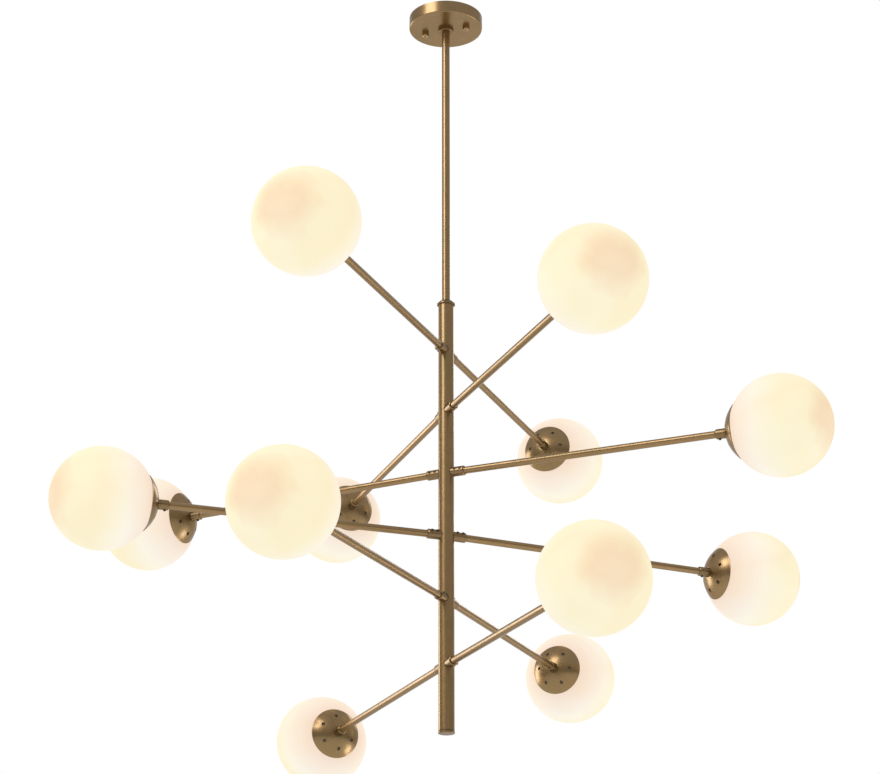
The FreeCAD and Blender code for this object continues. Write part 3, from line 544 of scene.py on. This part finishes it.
def holder_mesh():
    """The spun dish: outside, rim, inside, neck ring and flat back, with the vents cut out."""
    outside = [(THREAD_HOLE, SEAT), (FLAT_R - FLAT_BEND, SEAT)]
    outside += dome_arc(CURVE, FLAT_R, RIM_R - RIM_EASE, OUTSIDE_STEPS)
    rim = placed(RIM_R, RIM, RIM_OUTSIDE_PROFILE) + placed(INNER_RIM_R, RIM, RIM_INSIDE_PROFILE)
    inside = dome_arc(INNER_CURVE, INNER_RIM_R - EDGE, RING_R, INSIDE_STEPS)
    ring = [(RING_R, RING_FACE - EDGE), (RING_R - EDGE, RING_FACE), (RING_BORE + EDGE, RING_FACE),
            (RING_BORE, RING_FACE - EDGE)]
    back_r = math.sqrt(INNER_CURVE ** 2 - (DOME - BACK) ** 2)
    core = dome_arc(INNER_CURVE, RING_BORE, back_r, CORE_STEPS)
    outline = outside + rim + inside + ring + core + [(THREAD_HOLE, BACK)]
    blank = turned_mesh("holder", outline, WIDE_SIDES, DISH_MIDDLE)
    return smoothed(cut(blank, vent_tools()), SHARP)


def coupling_mesh():
    outline = [(ARM_R + FIT, MOUTH), (COUPLING_R - COUPLING_CHAMFER, MOUTH, 0.2),
               (COUPLING_R, MOUTH + COUPLING_CHAMFER, 0.3)]
    outline += placed(COUPLING_R, SEAT, GROOVE_PROFILE)
    outline += [(COUPLING_R, SEAT - HAIR, 0.25), (THREAD_R, SEAT - HAIR)]
    for turn in range(THREAD_TURNS):
        crest = BACK + THREAD_START + turn * THREAD_PITCH
        outline += [(THREAD_R, crest), (THREAD_R - THREAD_DEPTH, crest + THREAD_PITCH / 2)]
    outline += placed(THREAD_R, STUB_END, STUB_TIP_PROFILE)
    outline += [(WIRE_R, STUB_END), (WIRE_R, ARM_END), (ARM_R + FIT, ARM_END)]
    return smoothed(turned_mesh("coupling", eased(outline, EASE), FITTING_SIDES, SEAT), SHARP)


def arm_mesh():
    inner_r = ARM_R - ARM_WALL
    first, length = ARM_START + EDGE, ARM_END - ARM_START - 2 * EDGE
    outline = [(inner_r, ARM_START + INNER_EDGE), (inner_r + INNER_EDGE, ARM_START),
               (ARM_R - EDGE, ARM_START)]
    outline += [(ARM_R, first + length * i / ARM_STEPS) for i in range(ARM_STEPS + 1)]
    outline += [(ARM_R - EDGE, ARM_END), (inner_r + INNER_EDGE, ARM_END),
                (inner_r, ARM_END - INNER_EDGE)]
    return smoothed(turned_mesh("arm", outline, ARM_SIDES, REACH / 2), SHARP)


def sleeve_mesh():
    """The sleeve, with its foot cut to the column's round."""
    outline = eased([(SLEEVE_HOLE, SLEEVE_START), (SLEEVE_R, SLEEVE_START),
                     (SLEEVE_R, SLEEVE_END - SLEEVE_CHAMFER, 0.3),
                     (SLEEVE_R - SLEEVE_CHAMFER, SLEEVE_END, 0.25),
                     (SLEEVE_HOLE, SLEEVE_END, 0.15)], EASE)
    saddle_r, end = COLUMN_R + FIT, COLUMN_TOOL_HALF_L
    column = turned_mesh("column_tool", [(0, -end), (saddle_r, -end), (saddle_r, end), (0, end)],
                         WIDE_SIDES)
    column.transform(Matrix.Rotation(math.pi / 2, 4, "X"))
    blank = turned_mesh("sleeve", outline, FITTING_SIDES)
    return smoothed(cut(blank, [column]), SHARP)


def bead_mesh():
    """Thin uneven brazed fillet where a sleeve meets the column."""
    bm = bmesh.new()
    rings = []
    for i in range(BRAZE_SIDES):
        a = 2 * math.pi * i / BRAZE_SIDES
        x, y = SLEEVE_R * math.cos(a), SLEEVE_R * math.sin(a)
        z = math.sqrt(COLUMN_R ** 2 - x * x)
        centre = Vector((x, y, z))
        away = Vector((math.cos(a), math.sin(a), 0))
        normal = Vector((x, 0, z)).normalized()
        size = BRAZE_R
        for height, count, phase in BRAZE_WAVES:
            size += height * math.sin(count * a + phase)
        ring = []
        for k in range(BRAZE_SECTION):
            b = 2 * math.pi * k / BRAZE_SECTION
            spoke = away * math.cos(b) + normal * math.sin(b)
            ring.append(bm.verts.new((centre + spoke * size) * MM))
        rings.append(ring)
    for a, b in zip(rings, rings[1:] + rings[:1]):
        for k in range(BRAZE_SECTION):
            following = (k + 1) % BRAZE_SECTION
            bm.faces.new((a[k], b[k], b[following], a[following]))
    bmesh.ops.recalc_face_normals(bm, faces=bm.faces)
    return smoothed(made(bm, "bead"), BRAZE_SHARP)


def lampholder_mesh():
    front_r, stub_room = BARREL_R - FRONT_STEP, STUB_END + STUB_ROOM
    outline = eased([
        (THREAD_HOLE, BACK), (FLAT_R - SHEET, BACK, 0.3), (BARREL_R, BACK + BARREL_CONE, 0.8),
        (BARREL_R, LAMP_FACE - FRONT_L - FRONT_STEP, 0.3), (front_r, LAMP_FACE - FRONT_L, 0.3),
        (front_r, LAMP_FACE, 0.6), (0, LAMP_FACE), (0, stub_room), (THREAD_HOLE, stub_room)],
        FINE_EASE)
    half_w, half_d = LAMP_BASE_W / 2 + LAMP_GAP, LAMP_BASE_D / 2 + LAMP_GAP
    tools = [box_mesh("slot", (-half_w, -half_d, -LAMP_SLOT), (half_w, half_d, SLOT_TOOL_TOP))]
    for side in (-1, 1):
        place = side * RELIEF_PLACE
        tools.append(box_mesh("relief", (place - RELIEF_HALF_W, -RELIEF_HALF_D, -RELIEF_DEPTH),
                              (place + RELIEF_HALF_W, RELIEF_HALF_D, RELIEF_TOOL_TOP)))
    blank = turned_mesh("lampholder", outline, FITTING_SIDES, LAMP_FACE)
    return smoothed(cut(blank, tools), SHARP)


def lamp_mesh():
    start, tip = LAMP_FACE + LAMP_GAP, LAMP_FACE + LAMP_L
    angles = [math.pi / 2 * i / LAMP_TIP_STEPS for i in range(LAMP_TIP_STEPS)]
    outline = [(0, start)]
    outline += eased([(LAMP_R - LAMP_FOOT_STEP, start, 0.3), (LAMP_R, start + LAMP_FOOT_L, 0.8),
                      (LAMP_R, tip - LAMP_R - LAMP_SHOULDER)], FINE_EASE)
    outline += [(LAMP_R * math.cos(a), tip - LAMP_R + LAMP_R * math.sin(a)) for a in angles]
    outline += [(0, tip)]
    return smoothed(turned_mesh("lamp", outline, LAMP_SIDES, LAMP_FACE), LAMP_SHARP)


def lamp_base_mesh():
    half_w, half_d = LAMP_BASE_W / 2, LAMP_BASE_D / 2
    return smoothed(box_mesh("lamp_base", (-half_w, -half_d, -LAMP_SLOT + LAMP_GAP),
                             (half_w, half_d, LAMP_BASE_TOP), LAMP_BASE_BEVEL), BASE_SHARP)


GLOBE, HOLDER, COUPLING = globe_mesh(), holder_mesh(), coupling_mesh()
ARM, SLEEVE, BEAD = arm_mesh(), sleeve_mesh(), bead_mesh()
LAMPHOLDER, LAMP, LAMP_BASE = lampholder_mesh(), lamp_mesh(), lamp_base_mesh()

# ---------------------------------------------------------------- the half arms
HALF_ARMS = ["%d_%s" % (level, side) for level in LEVELS for side in SIDES]
OUTWARD = {joint["child"]: Vector(joint["axis"]).normalized() for joint in frame["joints"]}


def arm_matrix(name, station=0.0, turn=0.0):
    """Frame at a station of a half arm: Z outwards, X level, Y up, then turned about Z."""
    out = OUTWARD["glass_" + name]
    level = Vector((-out.y, out.x, 0)).normalized()
    up = out.cross(level)
    height = (FIRST_LEVEL + LEVEL_STEP * (int(name[0]) - 1)) * MM
    origin = Vector((0, 0, height)) + out * station * MM
    basis = Matrix((level, up, out)).transposed().to_4x4()
    return Matrix.Translation(origin) @ basis @ Matrix.Rotation(math.radians(turn), 4, "Z")


def piece(name, shared_mesh, matrix, body, material, slot, *nodes):
    mesh = shared_mesh.copy()
    mesh.materials.clear()
    mesh.materials.append(material)
    obj = bpy.data.objects.new(name, mesh)
    scene.collection.objects.link(obj)
    obj.matrix_world = matrix
    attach(obj, body)
    if nodes:
        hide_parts(*nodes)


for name in HALF_ARMS:
    piece("opal_" + name, GLOBE, arm_matrix(name, REACH), "glass_" + name, OPAL, "opal_glass",
          "globe_" + name)
    piece("dish_" + name, HOLDER, arm_matrix(name, DISH_MIDDLE, VENT_TURN.get(name, 0)), "frame",
          BRASS_SPUN, "antique_brass", "holder_" + name)
    piece("tube_" + name, ARM, arm_matrix(name, REACH / 2), "frame", BRASS_TUBE, "antique_brass",
          "arm_" + name)
    piece("coupling_" + name, COUPLING, arm_matrix(name, SEAT), "frame", BRASS_TURNED,
          "antique_brass", "arm_couplings")
    piece("sleeve_" + name, SLEEVE, arm_matrix(name), "frame", BRASS_TURNED, "antique_brass",
          "arm_sleeves")
    piece("braze_" + name, BEAD, arm_matrix(name), "frame", BRASS_TURNED, "antique_brass")
    piece("socket_" + name, LAMPHOLDER, arm_matrix(name, LAMP_FACE), "frame", CERAMIC,
          "lampholder_ceramic", "lampholders")
    piece("lamp_" + name, LAMP, arm_matrix(name, LAMP_FACE), "frame", LAMP_GLASS, "lamp_glass",
          "lamps")
    piece("lamp_base_" + name, LAMP_BASE, arm_matrix(name, LAMP_FACE), "frame", CERAMIC,
          "lamp_glass", "lamps")

# ---------------------------------------------------------------- finishes of the CAD pieces
FINISHES = {
    BRASS_TUBE: ("column_tube", "stem_tube"),
    BRASS_SPUN: ("canopy",),
    BRASS_TURNED: ("column_top_cap", "column_bottom_cap", "canopy_collar"),
    BRASS_NUT: ("canopy_cap_nuts",),
    BRASS_SCREW: ("sleeve_set_screws", "coupling_set_screws", "stem_nipple", "top_nipple"),
    STEEL: ("ceiling_bracket", "bracket_studs", "stud_nuts", "nipple_nuts", "earth_screw"),
    PLASTIC: ("terminal_block",),
}
for material, names in FINISHES.items():
    for name in names:
        obj = frame["nodes"][name]
        obj.data.materials.clear()
        obj.data.materials.append(material)

# ---------------------------------------------------------------- floor
# Far below the light, so that a view from below isn't blocked.  It glows for the camera and in
# reflections only, so that it looks pale without lighting anything.
FLOOR_HALF, FLOOR_Z = 60.0, -8.2
FLOOR_SEEN, FLOOR_MIRRORED = 0.53, 0.42

floor_mesh = bpy.data.meshes.new("floor")
floor_mesh.from_pydata([(-FLOOR_HALF, -FLOOR_HALF, 0), (FLOOR_HALF, -FLOOR_HALF, 0),
                        (FLOOR_HALF, FLOOR_HALF, 0), (-FLOOR_HALF, FLOOR_HALF, 0)],
                       [], [(0, 1, 2, 3)])
floor = bpy.data.objects.new("floor", floor_mesh)
floor.location = (0, 0, FLOOR_Z)
scene.collection.objects.link(floor)
ground = Finish("floor")
rays = ground.add("LightPath").outputs
ground.set(
    Base_Color=ground.ramp(ground.noise(scale=0.6), FLOOR_CLOUDS), Roughness=0.7,
    Emission_Color=FLOOR_GLOW,
    Emission_Strength=ground.math(
        "MAXIMUM", ground.math("MULTIPLY", rays["Is Camera Ray"], FLOOR_SEEN),
        ground.math("MULTIPLY", rays["Is Glossy Ray"], FLOOR_MIRRORED)))
floor_mesh.materials.append(ground.material)

# ---------------------------------------------------------------- studio lamps
AIM = Vector((0, 0, -0.85))
STUDIO_LAMPS = (
    # name, place, width, height, power
    ("key", (-1.75, -1.55, 0.93), 1.3, 1.6, 30),
    ("side", (-2.35, 1.66, -0.65), 1.1, 1.6, 24),
    ("low", (2.3, 0.9, -2.4), 1.0, 1.0, 12),
    ("back", (1.2, 2.5, 0.4), 1.0, 1.0, 9),
)
for name, place, width, height, power in STUDIO_LAMPS:
    data = bpy.data.lights.new(name, "AREA")
    data.shape = "RECTANGLE"
    data.size, data.size_y = width, height
    data.energy = power
    data.color = STUDIO_LIGHT
    lamp = bpy.data.objects.new(name, data)
    lamp.location = place
    lamp.rotation_euler = (AIM - Vector(place)).to_track_quat("-Z", "Y").to_euler()
    scene.collection.objects.link(lamp)

# ---------------------------------------------------------------- background
# The camera sees white.  Metal and glass see white on the far side, which falls off to a grey room
# on the near side, lighter towards the ceiling, as in a real studio.
AMBIENT = 0.58
ROOM_GREY, ROOM_RISE, ROOM_LIGHTEST = 0.2, 0.8, 0.6
WHITE_SLOPE, WHITE_START = 1.2, -0.15

world = bpy.data.worlds.new("studio")
scene.world = world
world.use_nodes = True
sky = Tree(world.node_tree)


def backdrop(strength, colour):
    node = sky.add("Background")
    sky.feed(node.inputs["Color"], (*colour, 1))
    sky.feed(node.inputs["Strength"], strength)
    return node.outputs[0]


def either(fac, a, b):
    node = sky.add("MixShader")
    for socket, value in zip(node.inputs, (fac, a, b)):
        sky.feed(socket, value)
    return node.outputs[0]


rays = sky.add("LightPath").outputs
direction = sky.add("SeparateXYZ")
sky.feed(direction.inputs[0], sky.add("TexCoord").outputs["Generated"])
fall = sky.math("MULTIPLY_ADD", direction.outputs["Y"], WHITE_SLOPE, WHITE_START, clamp=True)
room = sky.math("MULTIPLY_ADD", direction.outputs["Z"], ROOM_RISE, ROOM_GREY, clamp=True)
mirrored = sky.math("MAXIMUM", sky.math("MULTIPLY_ADD", fall, 1 - ROOM_GREY, ROOM_GREY),
                    sky.math("MINIMUM", room, ROOM_LIGHTEST))
shiny = sky.math("MAXIMUM", rays["Is Glossy Ray"], rays["Is Transmission Ray"])
surroundings = either(shiny, backdrop(AMBIENT, STUDIO_AIR), backdrop(mirrored, WHITE))
surroundings = either(rays["Is Camera Ray"], surroundings, backdrop(1.0, WHITE))
sky.feed(sky.add("OutputWorld").inputs["Surface"], surroundings)

# ---------------------------------------------------------------- camera
# Below the light and looking up, as fitted to the photograph's globes.
SENSOR_MM, LENS_MM = 36, 93.2
CAMERA_PLACE, CAMERA_TILT = (-0.0095, -3.3037, -1.9067), 110.82

camera_data = bpy.data.cameras.new("camera")
camera_data.sensor_width = SENSOR_MM
camera_data.lens = LENS_MM
camera = bpy.data.objects.new("camera", camera_data)
camera.location = CAMERA_PLACE
camera.rotation_euler = (math.radians(CAMERA_TILT), 0, 0)
scene.collection.objects.link(camera)
scene.camera = camera
scene.view_settings.view_transform = "Standard"
